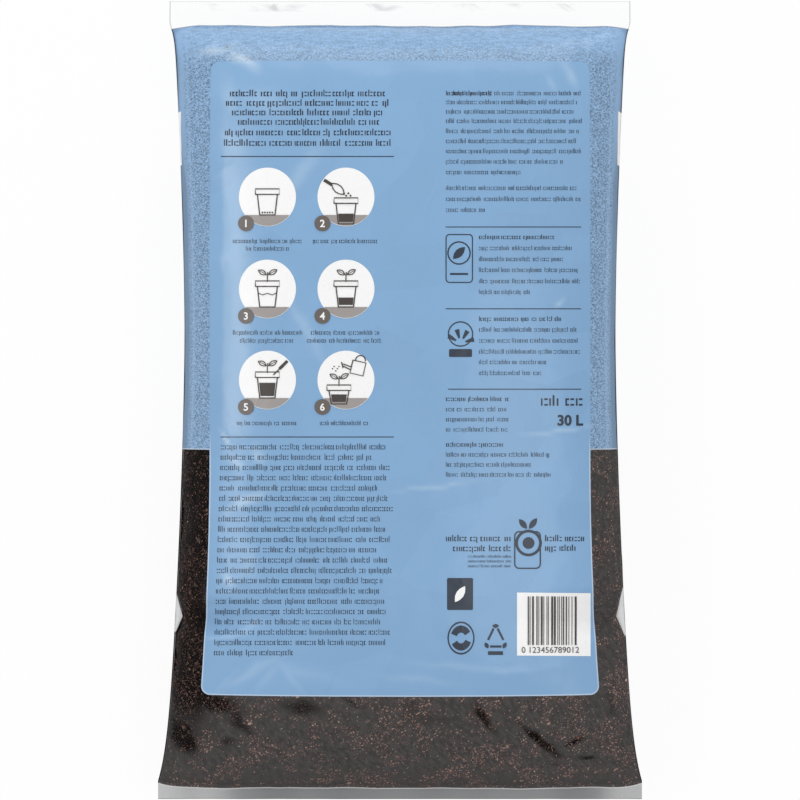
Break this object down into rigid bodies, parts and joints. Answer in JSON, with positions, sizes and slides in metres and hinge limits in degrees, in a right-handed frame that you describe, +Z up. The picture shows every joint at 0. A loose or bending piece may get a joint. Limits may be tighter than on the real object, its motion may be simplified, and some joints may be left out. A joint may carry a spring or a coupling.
{
  "type": "compost bag",
  "caption": "Filled sack of compost lying flat: a printed clear film sleeve sealed across both ends, with side kinks and a vent hole, around its compost fill.",
  "frame": {"origin": "on the floor under the middle of the bag's bounding box", "axes": "+X across the bag to the right of its printed back, +Y along the bag to the header end, +Z up out of the printed back"},
  "size_m": [0.4244, 0.7, 0.1309],
  "materials": {
    "printed_film": "clear polyethylene film with pale blue print, satin gloss, soft wrinkles",
    "compost": "dark brown loose compost with fine fibres and bark chips, fully matt"
  },
  "bodies": {
    "root": {"film_bag": "printed_film", "compost_fill": "compost"}
  },
  "joints": []
}
